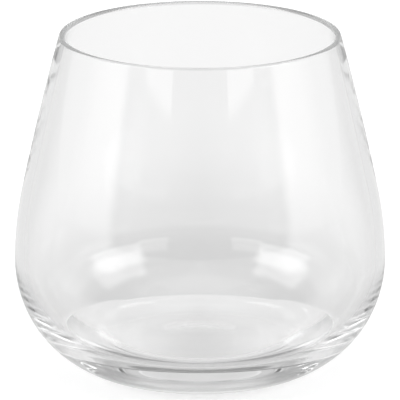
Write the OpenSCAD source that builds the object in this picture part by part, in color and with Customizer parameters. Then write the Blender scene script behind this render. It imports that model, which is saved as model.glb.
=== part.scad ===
// Rocks glass: one piece of clear glass with a wide belly, a wall that leans in to the rim,
// a thick floor and a shallow hollow under the foot. The origin is the centre of the foot, +Z is up.
// All sizes are in millimetres.

/* [Outside] */
// Height from the table to the top of the rim
height = 89; // [80:0.5:100]
// Outer radius of the belly, where the glass is widest
belly_radius = 47.5; // [46:0.5:51]
// Height of the belly above the table
belly_height = 30; // [27:0.5:36]
// Radius of the shoulder, where the side starts to lean in above the belly
shoulder_radius = 90; // [70:1:140]
// Height of the shoulder above the belly
shoulder_rise = 18; // [10:0.5:24]
// Outer radius of the rim
rim_radius = 36.2; // [32:0.1:42]

/* [Foot] */
// Outer radius of the foot, where the heel comes down to the table
foot_radius = 23.5; // [22:0.5:28]
// Radius of the rounding between the heel and the foot
foot_rounding = 16; // [4:1:18]
// Radius of the hollow under the foot
hollow_radius = 16; // [10:0.5:17.5]
// Depth of the hollow under the foot
hollow_depth = 0.4; // [0.2:0.1:2]

/* [Inside] */
// Thickness of the rim
rim_wall = 1.7; // [1.2:0.1:2.6]
// Thickness of the side at the belly and the shoulder
belly_wall = 2.6; // [1.6:0.1:3.5]
// Thickness of the heel at the edge of the floor, measured level
heel_wall = 5.2; // [3:0.1:8]
// Height of the floor above the table
floor_height = 10.7; // [7:0.1:16]
// Radius of the rounding around the floor
floor_rounding = 1.8; // [0.8:0.2:4]

/* [Hidden] */
// Largest distance between an arc and the chords that stand for it
chord_error = 0.01;
// Sides of a full turn
$fn = 180;

inner_belly_radius = belly_radius - belly_wall;
inner_shoulder_radius = shoulder_radius - belly_wall;
shoulder_center = [belly_radius - shoulder_radius, belly_height];
shoulder_angle = asin(shoulder_rise / shoulder_radius);
rim_center = [rim_radius - rim_wall / 2, height - rim_wall / 2];
outer_heel_radius = heel_radius(belly_radius - foot_radius, belly_height);
floor_drop = belly_height - floor_height;
// Distance from the middle of the heel's arc out to the heel, at the height of the floor
heel_reach = sqrt(outer_heel_radius * outer_heel_radius - floor_drop * floor_drop);
// Radius of the floor, where the inside of the heel comes down to it
floor_radius = belly_radius - outer_heel_radius + heel_reach - heel_wall;

// Unit vector at an angle
function direction(angle) = [cos(angle), sin(angle)];

// Angle of a vector
function angle_of(v) = atan2(v.y, v.x);

// Points along an arc from one angle to another
function arc(center, radius, from, to) =
    let (steps = max(1, ceil(abs(to - from) / (2 * acos(1 - chord_error / abs(radius))))))
    [for (i = [0 : steps]) center + radius * direction(from + (to - from) * i / steps)];

// Radius of an arc that is upright at its top and comes in by the reach over the rise
function heel_radius(reach, rise) = (reach * reach + rise * rise) / (2 * reach);

// Points from the foot up to the belly: a rounding that lies on the level below, then the heel,
// which is upright at the belly and would reach that level at the foot's radius
function heel(belly_r, belly_z, foot_r, foot_z, rounding) =
    let (
        reach = belly_r - foot_r,
        rise = belly_z - foot_z,
        heel_r = heel_radius(reach, rise),
        heel_center = [belly_r - heel_r, belly_z],
        drop = rise - rounding,
        inset = heel_r - rounding,
        rounding_center = [heel_center.x + sqrt(inset * inset - drop * drop), foot_z + rounding],
        join = angle_of(rounding_center - heel_center)
    )
    concat(arc(rounding_center, rounding, -90, join), arc(heel_center, heel_r, join, 0));

// Points from the belly up to the rim: the shoulder, then a slow arc that runs on into the
// rounded rim. The offset is the distance from the surface to the middle of the rim's wall.
function side(shoulder_r, offset) =
    let (
        lean = direction(shoulder_angle),
        start = shoulder_center + (shoulder_r - offset) * lean,
        chord = start - rim_center,
        bow = chord * chord / (2 * lean * chord),
        bow_center = start - bow * lean,
        rim_angle = angle_of((rim_center - bow_center) / bow)
    )
    concat(
        arc(shoulder_center, shoulder_r, 0, shoulder_angle),
        arc(bow_center, bow + offset, shoulder_angle, rim_angle)
    );

// The same points in the other order
function reversed(points) = [for (i = [len(points) - 1 : -1 : 0]) points[i]];

// Rounded top of the rim, from the outer side to the inner one
function rim(outer_end, inner_end) =
    arc(
        rim_center,
        rim_wall / 2,
        angle_of(outer_end - rim_center),
        180 + angle_of(rim_center - inner_end)
    );

// Hollow under the foot, from the middle to its edge: a low dome, then an equal curve that runs
// out level onto the ring around it
function hollow() =
    let (
        curve_r = (hollow_radius * hollow_radius + hollow_depth * hollow_depth) / (4 * hollow_depth),
        turn = asin(hollow_radius / (2 * curve_r))
    )
    concat(
        arc([0, hollow_depth - curve_r], curve_r, 90, 90 - turn),
        arc([hollow_radius, curve_r], curve_r, -90 - turn, -90)
    );

// Outline of the wall on one side of the axis
module section() {
    outer_side = side(shoulder_radius, rim_wall / 2);
    inner_side = side(inner_shoulder_radius, -rim_wall / 2);
    outer_end = outer_side[len(outer_side) - 1];
    inner_end = inner_side[len(inner_side) - 1];
    polygon(concat(
        hollow(),
        heel(belly_radius, belly_height, foot_radius, 0, foot_rounding),
        outer_side,
        rim(outer_end, inner_end),
        reversed(inner_side),
        reversed(heel(inner_belly_radius, belly_height, floor_radius, floor_height, floor_rounding)),
        [[0, floor_height]]
    ));
}

module tumbler() {
    color([0.86, 0.91, 0.9, 0.45]) rotate_extrude() section();
}

tumbler();
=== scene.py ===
"""Rocks glass: one piece of clear glass, with the floor, the studio light and the camera around it."""
import math

import bpy
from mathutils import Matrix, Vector


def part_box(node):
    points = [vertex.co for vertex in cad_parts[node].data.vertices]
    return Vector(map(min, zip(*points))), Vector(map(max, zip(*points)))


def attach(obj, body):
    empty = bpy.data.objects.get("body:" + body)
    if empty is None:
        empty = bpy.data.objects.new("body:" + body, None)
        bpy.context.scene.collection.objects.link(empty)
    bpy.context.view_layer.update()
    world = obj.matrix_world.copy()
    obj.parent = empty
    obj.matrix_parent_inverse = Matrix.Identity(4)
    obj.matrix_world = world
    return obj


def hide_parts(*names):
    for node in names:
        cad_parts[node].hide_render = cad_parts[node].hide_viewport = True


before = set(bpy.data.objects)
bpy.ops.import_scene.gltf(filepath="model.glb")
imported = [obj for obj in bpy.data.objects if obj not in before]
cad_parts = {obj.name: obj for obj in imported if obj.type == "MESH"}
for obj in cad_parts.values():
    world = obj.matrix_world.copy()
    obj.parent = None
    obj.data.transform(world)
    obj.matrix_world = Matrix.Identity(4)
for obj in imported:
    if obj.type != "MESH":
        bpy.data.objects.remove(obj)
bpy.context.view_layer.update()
scene = bpy.context.scene

# Sizes of the glass, in millimetres
MM = 0.001
_, tumbler_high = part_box("tumbler")
HEIGHT = tumbler_high.z / MM
BELLY_RADIUS = tumbler_high.x / MM
BELLY_HEIGHT = 30.0
SHOULDER_RADIUS = 90.0
SHOULDER_RISE = 18.0
RIM_RADIUS = 36.2
FOOT_RADIUS = 23.5
FOOT_ROUNDING = 16.0
HOLLOW_RADIUS = 16.0
HOLLOW_DEPTH = 0.4
RIM_WALL = 1.7
BELLY_WALL = 2.6
HEEL_WALL = 5.2
FLOOR_HEIGHT = 10.7
FLOOR_ROUNDING = 1.8
# Middle of the rim's rounding
RIM_CENTER = Vector((RIM_RADIUS - RIM_WALL / 2, HEIGHT - RIM_WALL / 2))

# How finely the glass is meshed: sides of a full turn, steps across a flat face, and the largest
# distance between an arc and its chords, in millimetres
TURN_STEPS = 256
FLAT_STEPS = 6
CHORD_ERROR = 0.004
# A point nearer to the axis than this is on it, in millimetres
AXIS_LIMIT = 1e-9

# The glass: how strongly it bends light, and the nearly neutral tint that shows over long ways through it
GLASS_IOR = 1.52
GLASS_TINT = (0.588, 0.6, 0.597, 1.0)
GLASS_TINT_DENSITY = 1.6
# Waviness of the melted surface, in metres: slow and slight all over, quicker and deeper around the heel
SIDE_WAVES_PER_METRE = 45.0
SIDE_WAVE_DEPTH = 0.000002
HEEL_WAVES_PER_METRE = 130.0
HEEL_WAVE_DEPTH = 0.00001
HEEL_WAVE_TOP = 0.03
HEEL_WAVE_BOTTOM = 0.012
HEEL_WAVE_FADE = 0.004

# The view of the photograph: 400 by 400 pixels, from far away and a little above. The elevation is in
# degrees, the sensor's width in millimetres and the other lengths in metres.
PICTURE_PIXELS = 400
PIXELS_PER_MM = 3.903
CAMERA_ELEVATION = 14.6
CAMERA_DISTANCE = 4.3
CAMERA_AIM_HEIGHT = 0.0452
CAMERA_REACH = 100.0
SENSOR_WIDTH = 36.0

# The floor, in metres, just under the foot. The camera sees it lit and glowing.
FLOOR_HALF_WIDTH = 20.0
FLOOR_GAP = 0.00015
FLOOR_ALBEDO = 0.85
FLOOR_GLOW = 0.59
# Where the floor is seen in the glass it is mostly glow, which depends on the place on the floor: painted
# shadow and painted light, seen only in the glass
FLOOR_ALBEDO_IN_GLASS = 0.2
# A painted pool of light under the foot, in place of the light that the thick base gathers
PAINTED_LIGHT_POOL_GLOW = 0.82
PAINTED_LIGHT_POOL_CENTER = (0.0, 0.012, 0.0)
PAINTED_LIGHT_POOL_FADE_START = 0.028
PAINTED_LIGHT_POOL_FADE_END = 0.044
# Painted shade in the middle of that pool of light, which is longer from front to back than across
PAINTED_SHADE_MIDDLE_GLOW = 0.67
PAINTED_SHADE_MIDDLE_CENTER = (0.0, -0.012, 0.0)
PAINTED_SHADE_MIDDLE_STRETCH = 2.5
PAINTED_SHADE_MIDDLE_FADE_START = 0.002
PAINTED_SHADE_MIDDLE_FADE_END = 0.024
# A soft shadow painted into the glow around the glass, and the brighter floor far from it
AXIS_FOOT = (0.0, 0.0, 0.0)
PAINTED_SHADOW_GLOW = 0.59
PAINTED_SHADOW_END = 0.1
FAR_GLOW = 0.81
FAR_START = 0.26
# How much of the glow is left far to the sides: painted shade towards the sides
PAINTED_SIDE_SHADE_SHARE = 0.8
PAINTED_SIDE_SHADE_START = 0.05
PAINTED_SIDE_SHADE_END = 0.1
# How many bounces of light are followed
LIGHT_BOUNCES = 160

# Brightness of the room by direction: walls and ceiling, towards the camera and behind the glass,
# and the gap between the walls and the ceiling
WALL_FRONT = 0.12
WALL_BACK = 0.65
CEILING_FRONT = 0.6
CEILING_BACK = 0.7
ROOM_GAP = 0.12
# Where the front turns into the back, by how far the direction points away from the camera, from -1 to 1
WALL_TURN = (-0.05, 0.5)
CEILING_TURN = (-0.3, 0.3)
# Elevations over which the walls fade into the gap and the gap into the ceiling, in degrees
WALL_TOP = (30, 38)
CEILING_EDGE = (54, 66)
# Softboxes, the same on both sides. Angles are in degrees, and azimuth is from the camera's side. Each
# range has where the softbox starts, where it is at full strength, where it starts to fade and where
# it ends.
SOFTBOXES = [
    {"azimuth": (57, 65, 84, 106), "elevation": (-3, 8, 9, 13), "strength": 1.0},
    {"azimuth": (55, 63, 118, 136), "elevation": (-20, -10, 30, 38), "strength": 0.5},
    {"azimuth": (57, 65, 118, 136), "elevation": (8, 12, 30, 38), "strength": 0.5},
    {"azimuth": (40, 46, 78, 88), "elevation": (14, 18, 34, 40), "strength": 3.4},
    {"azimuth": (20.5, 23, 42, 46), "elevation": (12.6, 13.8, 17, 22), "strength": 1.8},
    {"azimuth": (-10, -5, 55, 66), "elevation": (42, 50, 74, 84), "strength": 0.5},
    {"azimuth": (-10, -5, 50, 60), "elevation": (-20, -15, 9, 16), "strength": 0.25},
]
# Bounces in the glass after which the unevenness of real glass blurs the softboxes into an even glow
BLUR_START = 14
BLUR_END = 24
BLUR_GLOW = 0.4


def direction(angle):
    """Unit vector at an angle in radians."""
    return Vector((math.cos(angle), math.sin(angle)))


def angle_of(v):
    """Angle of a vector in radians."""
    return math.atan2(v.y, v.x)


def arc(center, radius, start, end, facing=1):
    """Points along an arc with the way the glass faces there; facing is -1 where it faces the centre."""
    step = 2 * math.acos(1 - CHORD_ERROR / radius)
    count = max(1, math.ceil(abs(end - start) / step))
    rays = [direction(start + (end - start) * i / count) for i in range(count + 1)]
    return [(center + radius * ray, facing * ray) for ray in rays]


def flat(start, end, facing):
    """Points along a straight stretch with the way the glass faces there."""
    return [(start.lerp(end, i / FLAT_STEPS), facing) for i in range(FLAT_STEPS + 1)]


def heel_radius(reach, rise):
    """Radius of an arc that is upright at its top and comes in by the reach over the rise."""
    return (reach * reach + rise * rise) / (2 * reach)


def heel(belly_r, foot_r, foot_z, rounding, facing):
    """Stretches from a level face up to the belly: a rounding, then the heel."""
    reach = belly_r - foot_r
    rise = BELLY_HEIGHT - foot_z
    heel_r = heel_radius(reach, rise)
    heel_center = Vector((belly_r - heel_r, BELLY_HEIGHT))
    drop = rise - rounding
    inset = heel_r - rounding
    rounding_center = Vector((heel_center.x + math.sqrt(inset * inset - drop * drop), foot_z + rounding))
    join = angle_of(rounding_center - heel_center)
    return [
        arc(rounding_center, rounding, -math.pi / 2, join, facing),
        arc(heel_center, heel_r, join, 0, facing),
    ]


def side(shoulder_r, offset, facing):
    """Stretches from the belly up to the rim: the shoulder, then a slow arc."""
    shoulder_center = Vector((BELLY_RADIUS - SHOULDER_RADIUS, BELLY_HEIGHT))
    shoulder_angle = math.asin(SHOULDER_RISE / SHOULDER_RADIUS)
    lean = direction(shoulder_angle)
    start = shoulder_center + (shoulder_r - offset) * lean
    chord = start - RIM_CENTER
    bow = chord.dot(chord) / (2 * lean.dot(chord))
    bow_center = start - bow * lean
    rim_angle = angle_of((RIM_CENTER - bow_center) / bow)
    return [
        arc(shoulder_center, shoulder_r, 0, shoulder_angle, facing),
        arc(bow_center, bow + offset, shoulder_angle, rim_angle, facing),
    ]


def backwards(stretches):
    """The same stretches run the other way."""
    return [stretch[::-1] for stretch in stretches[::-1]]


def hollow():
    """Stretches of the hollow under the foot: a low dome, then an equal curve that runs out level."""
    curve_r = (HOLLOW_RADIUS ** 2 + HOLLOW_DEPTH ** 2) / (4 * HOLLOW_DEPTH)
    turn = math.asin(HOLLOW_RADIUS / (2 * curve_r))
    return [
        arc(Vector((0, HOLLOW_DEPTH - curve_r)), curve_r, math.pi / 2, math.pi / 2 - turn, -1),
        arc(Vector((HOLLOW_RADIUS, curve_r)), curve_r, -math.pi / 2 - turn, -math.pi / 2),
    ]


def outline():
    """Stretches of the wall's outline, from the middle of the hollow round to the middle of the floor."""
    outer_heel_r = heel_radius(BELLY_RADIUS - FOOT_RADIUS, BELLY_HEIGHT)
    heel_reach = math.sqrt(outer_heel_r ** 2 - (BELLY_HEIGHT - FLOOR_HEIGHT) ** 2)
    floor_radius = BELLY_RADIUS - outer_heel_r + heel_reach - HEEL_WALL

    outer_heel = heel(BELLY_RADIUS, FOOT_RADIUS, 0, FOOT_ROUNDING, 1)
    inner_heel = heel(BELLY_RADIUS - BELLY_WALL, floor_radius, FLOOR_HEIGHT, FLOOR_ROUNDING, -1)
    outer_side = side(SHOULDER_RADIUS, RIM_WALL / 2, 1)
    inner_side = side(SHOULDER_RADIUS - BELLY_WALL, -RIM_WALL / 2, -1)
    outer_angle = angle_of(outer_side[-1][-1][0] - RIM_CENTER)
    inner_angle = math.pi + angle_of(RIM_CENTER - inner_side[-1][-1][0])

    foot_ring = flat(Vector((HOLLOW_RADIUS, 0)), outer_heel[0][0][0], Vector((0, -1)))
    floor = flat(inner_heel[0][0][0], Vector((0, FLOOR_HEIGHT)), Vector((0, 1)))
    rim = arc(RIM_CENTER, RIM_WALL / 2, outer_angle, inner_angle)
    upward = [*hollow(), foot_ring, *outer_heel, *outer_side, rim]
    return [*upward, *backwards(inner_side), *backwards(inner_heel), floor]


def turned(radius, height, step):
    """A point of the outline carried round the axis."""
    angle = 2 * math.pi * step / TURN_STEPS
    return (radius * math.cos(angle), radius * math.sin(angle), height)


def lathe(name, stretches):
    """A closed mesh turned from the outline, with the outline's own normals on every corner."""
    verts = []
    faces = []
    normals = []

    def ring(point):
        """Carries a point round the axis, and gives the numbers of the new points, the first one twice."""
        first = len(verts)
        on_axis = abs(point.x) < AXIS_LIMIT
        count = 1 if on_axis else TURN_STEPS
        verts.extend(turned(point.x * MM, point.y * MM, step) for step in range(count))
        return [first + step % count for step in range(TURN_STEPS + 1)]

    upper = ring(stretches[0][0][0])
    for stretch in stretches:
        for (_, lower_facing), (point, upper_facing) in zip(stretch, stretch[1:]):
            lower = upper
            upper = ring(point)
            for step in range(TURN_STEPS):
                corners = [
                    (lower[step], lower_facing, step),
                    (lower[step + 1], lower_facing, step + 1),
                    (upper[step + 1], upper_facing, step + 1),
                    (upper[step], upper_facing, step),
                ]
                if lower[step] == lower[step + 1]:
                    corners.pop(1)
                elif upper[step] == upper[step + 1]:
                    corners.pop(2)
                faces.append([index for index, _, _ in corners])
                normals.extend(turned(facing.x, facing.y, turn) for _, facing, turn in corners)

    mesh = bpy.data.meshes.new(name)
    mesh.from_pydata(verts, [], faces)
    mesh.polygons.foreach_set("use_smooth", [True] * len(faces))
    mesh.normals_split_custom_set(normals)
    made = bpy.data.objects.new(name, mesh)
    scene.collection.objects.link(made)
    return made


def new_material(name):
    """An empty node material and its output."""
    material = bpy.data.materials.new(name)
    material.use_nodes = True
    nodes = material.node_tree.nodes
    nodes.clear()
    return material, nodes, material.node_tree.links, nodes.new("ShaderNodeOutputMaterial")


def maths(nodes, links, operation, first, second=0.0):
    """A value worked out from one or two others; each is a number or another node's output."""
    node = nodes.new("ShaderNodeMath")
    node.operation = operation
    for socket, value in zip(node.inputs, (first, second)):
        if isinstance(value, (int, float)):
            socket.default_value = value
        else:
            links.new(value, socket)
    return node.outputs["Value"]


def smooth_between(nodes, links, value, low, high, start=0.0, end=1.0):
    """A value that goes smoothly from start to end while another goes from low to high."""
    blend = nodes.new("ShaderNodeMapRange")
    blend.interpolation_type = "SMOOTHSTEP"
    blend.inputs["From Min"].default_value = low
    blend.inputs["From Max"].default_value = high
    blend.inputs["To Min"].default_value = start
    blend.inputs["To Max"].default_value = end
    links.new(value, blend.inputs["Value"])
    return blend.outputs["Result"]


def mixed(nodes, links, factor, first, second):
    """A blend of two values; each is a number or another node's output."""
    node = nodes.new("ShaderNodeMix")
    links.new(factor, node.inputs["Factor"])
    for socket, value in zip((node.inputs["A"], node.inputs["B"]), (first, second)):
        if isinstance(value, (int, float)):
            socket.default_value = value
        else:
            links.new(value, socket)
    return node.outputs["Result"]


def distance_from(nodes, links, place, center):
    """Distance of a place from a point."""
    node = nodes.new("ShaderNodeVectorMath")
    node.operation = "DISTANCE"
    links.new(place, node.inputs[0])
    node.inputs[1].default_value = center
    return node.outputs["Value"]


def waves(nodes, links, place, per_metre):
    """Smooth random waves, between 0 and 1."""
    noise = nodes.new("ShaderNodeTexNoise")
    noise.inputs["Scale"].default_value = per_metre
    noise.inputs["Detail"].default_value = 1.0
    links.new(place, noise.inputs["Vector"])
    return noise.outputs["Fac"]


def melted_surface(nodes, links):
    """Normals of the slightly wavy surface of melted glass."""
    place = nodes.new("ShaderNodeTexCoord").outputs["Object"]
    parts = nodes.new("ShaderNodeSeparateXYZ")
    links.new(place, parts.inputs["Vector"])
    height = parts.outputs["Z"]
    below_belly = smooth_between(nodes, links, height, HEEL_WAVE_TOP, HEEL_WAVE_TOP - HEEL_WAVE_FADE)
    above_floor = smooth_between(nodes, links, height, HEEL_WAVE_BOTTOM, HEEL_WAVE_BOTTOM + HEEL_WAVE_FADE)
    on_heel = maths(nodes, links, "MULTIPLY", below_belly, above_floor)

    side_waves = waves(nodes, links, place, SIDE_WAVES_PER_METRE)
    side_rise = maths(nodes, links, "MULTIPLY", side_waves, SIDE_WAVE_DEPTH)
    quick_waves = waves(nodes, links, place, HEEL_WAVES_PER_METRE)
    heel_waves = maths(nodes, links, "MULTIPLY", quick_waves, on_heel)
    heel_rise = maths(nodes, links, "MULTIPLY", heel_waves, HEEL_WAVE_DEPTH)

    bump = nodes.new("ShaderNodeBump")
    bump.inputs["Strength"].default_value = 1.0
    bump.inputs["Distance"].default_value = 1.0
    links.new(maths(nodes, links, "ADD", side_rise, heel_rise), bump.inputs["Height"])
    return bump.outputs["Normal"]


def clear_glass():
    """Clear glass with the slow waviness of melted glass and a faint grey-green tint through its depth."""
    material, nodes, links, output = new_material("clear_glass")
    surface = nodes.new("ShaderNodeBsdfPrincipled")
    surface.inputs["Base Color"].default_value = (1.0, 1.0, 1.0, 1.0)
    surface.inputs["Transmission Weight"].default_value = 1.0
    surface.inputs["Roughness"].default_value = 0.0
    surface.inputs["IOR"].default_value = GLASS_IOR
    links.new(melted_surface(nodes, links), surface.inputs["Normal"])
    links.new(surface.outputs["BSDF"], output.inputs["Surface"])

    tint = nodes.new("ShaderNodeVolumeAbsorption")
    tint.inputs["Color"].default_value = GLASS_TINT
    tint.inputs["Density"].default_value = GLASS_TINT_DENSITY
    links.new(tint.outputs["Volume"], output.inputs["Volume"])
    return material


def painted_light_and_shade_in_glass(nodes, links):
    """How strongly the floor glows where it is seen in the glass, by the place on the floor: painted shadow
    and painted light.
    """
    place = nodes.new("ShaderNodeNewGeometry").outputs["Position"]
    parts = nodes.new("ShaderNodeSeparateXYZ")
    links.new(place, parts.inputs["Vector"])
    across = maths(nodes, links, "ABSOLUTE", parts.outputs["X"])

    # painted soft shadow around the glass, narrower across than from front to back
    from_axis = distance_from(nodes, links, place, AXIS_FOOT)
    out_of_shadow = maths(nodes, links, "ADD", from_axis, across)
    around = smooth_between(nodes, links, out_of_shadow, PAINTED_SHADOW_END, FAR_START, PAINTED_SHADOW_GLOW, FAR_GLOW)
    # painted shade far to the sides
    sideways = smooth_between(nodes, links, across, PAINTED_SIDE_SHADE_START, PAINTED_SIDE_SHADE_END, 1.0, PAINTED_SIDE_SHADE_SHARE)
    painted_shade_floor = maths(nodes, links, "MULTIPLY", around, sideways)

    # painted shade in the middle of the pool of light
    from_middle = distance_from(nodes, links, place, PAINTED_SHADE_MIDDLE_CENTER)
    shortened = maths(nodes, links, "DIVIDE", from_middle, PAINTED_SHADE_MIDDLE_STRETCH)
    out_of_middle = maths(nodes, links, "ADD", shortened, across)
    painted_shade_fade = (PAINTED_SHADE_MIDDLE_FADE_START, PAINTED_SHADE_MIDDLE_FADE_END)
    painted_light_pool = smooth_between(nodes, links, out_of_middle, *painted_shade_fade, PAINTED_SHADE_MIDDLE_GLOW, PAINTED_LIGHT_POOL_GLOW)

    # painted pool of light under the foot, fading out around it
    from_painted_light_pool = distance_from(nodes, links, place, PAINTED_LIGHT_POOL_CENTER)
    out_of_painted_light_pool = smooth_between(nodes, links, from_painted_light_pool, PAINTED_LIGHT_POOL_FADE_START, PAINTED_LIGHT_POOL_FADE_END)
    return mixed(nodes, links, out_of_painted_light_pool, painted_light_pool, painted_shade_floor)


def white_floor():
    """A matt white floor that takes shadows. It glows evenly for the camera, and in the glass with painted
    shadow and painted light that depend on the place.
    """
    material, nodes, links, output = new_material("white_floor")
    path = nodes.new("ShaderNodeLightPath")
    glossy = path.outputs["Is Glossy Ray"]
    in_glass = maths(nodes, links, "MAXIMUM", glossy, path.outputs["Is Transmission Ray"])
    matt = nodes.new("ShaderNodeBsdfDiffuse")
    links.new(mixed(nodes, links, in_glass, FLOOR_ALBEDO, FLOOR_ALBEDO_IN_GLASS), matt.inputs["Color"])
    glow = nodes.new("ShaderNodeEmission")
    # the glow that the glass sees carries painted shadow and painted light
    painted_glow_in_glass = maths(nodes, links, "MULTIPLY", in_glass, painted_light_and_shade_in_glass(nodes, links))
    shown = mixed(nodes, links, path.outputs["Is Camera Ray"], painted_glow_in_glass, FLOOR_GLOW)
    links.new(shown, glow.inputs["Strength"])
    both = nodes.new("ShaderNodeAddShader")
    links.new(matt.outputs["BSDF"], both.inputs[0])
    links.new(glow.outputs["Emission"], both.inputs[1])
    links.new(both.outputs["Shader"], output.inputs["Surface"])
    return material


def lay_floor():
    """The floor, just under the foot so that the two don't share a plane."""
    half = FLOOR_HALF_WIDTH
    level = -FLOOR_GAP
    corners = [(-half, -half, level), (half, -half, level), (half, half, level), (-half, half, level)]
    mesh = bpy.data.meshes.new("floor")
    mesh.from_pydata(corners, [], [(0, 1, 2, 3)])
    floor = bpy.data.objects.new("floor", mesh)
    scene.collection.objects.link(floor)
    floor.data.materials.append(white_floor())


def soft_range(nodes, links, value, limits):
    """1 inside a range of angles in degrees, with soft ends."""
    first, full, fading, last = (math.radians(limit) for limit in limits)
    rising = smooth_between(nodes, links, value, first, full)
    falling = smooth_between(nodes, links, value, last, fading)
    return maths(nodes, links, "MULTIPLY", rising, falling)


def light_room():
    """The room: brighter behind the glass and overhead, dark towards the camera, white where it is seen."""
    world = bpy.data.worlds.new("room")
    world.use_nodes = True
    nodes = world.node_tree.nodes
    links = world.node_tree.links
    background = nodes["Background"]
    place = nodes.new("ShaderNodeTexCoord")
    parts = nodes.new("ShaderNodeSeparateXYZ")
    links.new(place.outputs["Generated"], parts.inputs["Vector"])
    across = maths(nodes, links, "ABSOLUTE", parts.outputs["X"])
    forward = maths(nodes, links, "MULTIPLY", parts.outputs["Y"], -1.0)
    azimuth = maths(nodes, links, "ARCTAN2", across, forward)
    elevation = maths(nodes, links, "ARCSINE", parts.outputs["Z"])

    walls = smooth_between(nodes, links, parts.outputs["Y"], *WALL_TURN, WALL_FRONT, WALL_BACK)
    ceiling = smooth_between(nodes, links, parts.outputs["Y"], *CEILING_TURN, CEILING_FRONT, CEILING_BACK)
    above_walls = smooth_between(nodes, links, elevation, *map(math.radians, WALL_TOP))
    overhead = smooth_between(nodes, links, elevation, *map(math.radians, CEILING_EDGE))
    below_ceiling = mixed(nodes, links, above_walls, walls, ROOM_GAP)
    total = mixed(nodes, links, overhead, below_ceiling, ceiling)

    path = nodes.new("ShaderNodeLightPath")
    bounces = path.outputs["Ray Depth"]
    clear = smooth_between(nodes, links, bounces, BLUR_START, BLUR_END, 1.0, 0.0)
    blurred = smooth_between(nodes, links, bounces, BLUR_START, BLUR_END, 0.0, BLUR_GLOW)
    total = maths(nodes, links, "ADD", total, blurred)
    for softbox in SOFTBOXES:
        sideways = soft_range(nodes, links, azimuth, softbox["azimuth"])
        upright = soft_range(nodes, links, elevation, softbox["elevation"])
        shape = maths(nodes, links, "MULTIPLY", sideways, upright)
        strength = maths(nodes, links, "MULTIPLY", clear, softbox["strength"])
        light = maths(nodes, links, "MULTIPLY", shape, strength)
        total = maths(nodes, links, "ADD", total, light)

    shown = mixed(nodes, links, path.outputs["Is Camera Ray"], total, 1.0)
    links.new(shown, background.inputs["Strength"])
    background.inputs["Color"].default_value = (1.0, 1.0, 1.0, 1.0)
    scene.world = world


def place_camera():
    """The camera of the photograph."""
    rise = math.radians(CAMERA_ELEVATION)
    aim = Vector((0, 0, CAMERA_AIM_HEIGHT))
    lens = bpy.data.cameras.new("camera")
    lens.sensor_width = SENSOR_WIDTH
    lens.lens = SENSOR_WIDTH * CAMERA_DISTANCE / (PICTURE_PIXELS / PIXELS_PER_MM * MM)
    lens.clip_end = CAMERA_REACH
    camera = bpy.data.objects.new("camera", lens)
    camera.location = aim + CAMERA_DISTANCE * Vector((0, -math.cos(rise), math.sin(rise)))
    camera.rotation_euler = (aim - camera.location).to_track_quat("-Z", "Y").to_euler()
    scene.collection.objects.link(camera)
    scene.camera = camera


tumbler = lathe("glass_tumbler", outline())
tumbler.data.materials.append(clear_glass())
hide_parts("tumbler")
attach(tumbler, "root")

lay_floor()
light_room()
place_camera()

scene.cycles.max_bounces = LIGHT_BOUNCES
scene.cycles.transmission_bounces = LIGHT_BOUNCES
scene.cycles.glossy_bounces = LIGHT_BOUNCES
scene.view_settings.view_transform = "Standard"
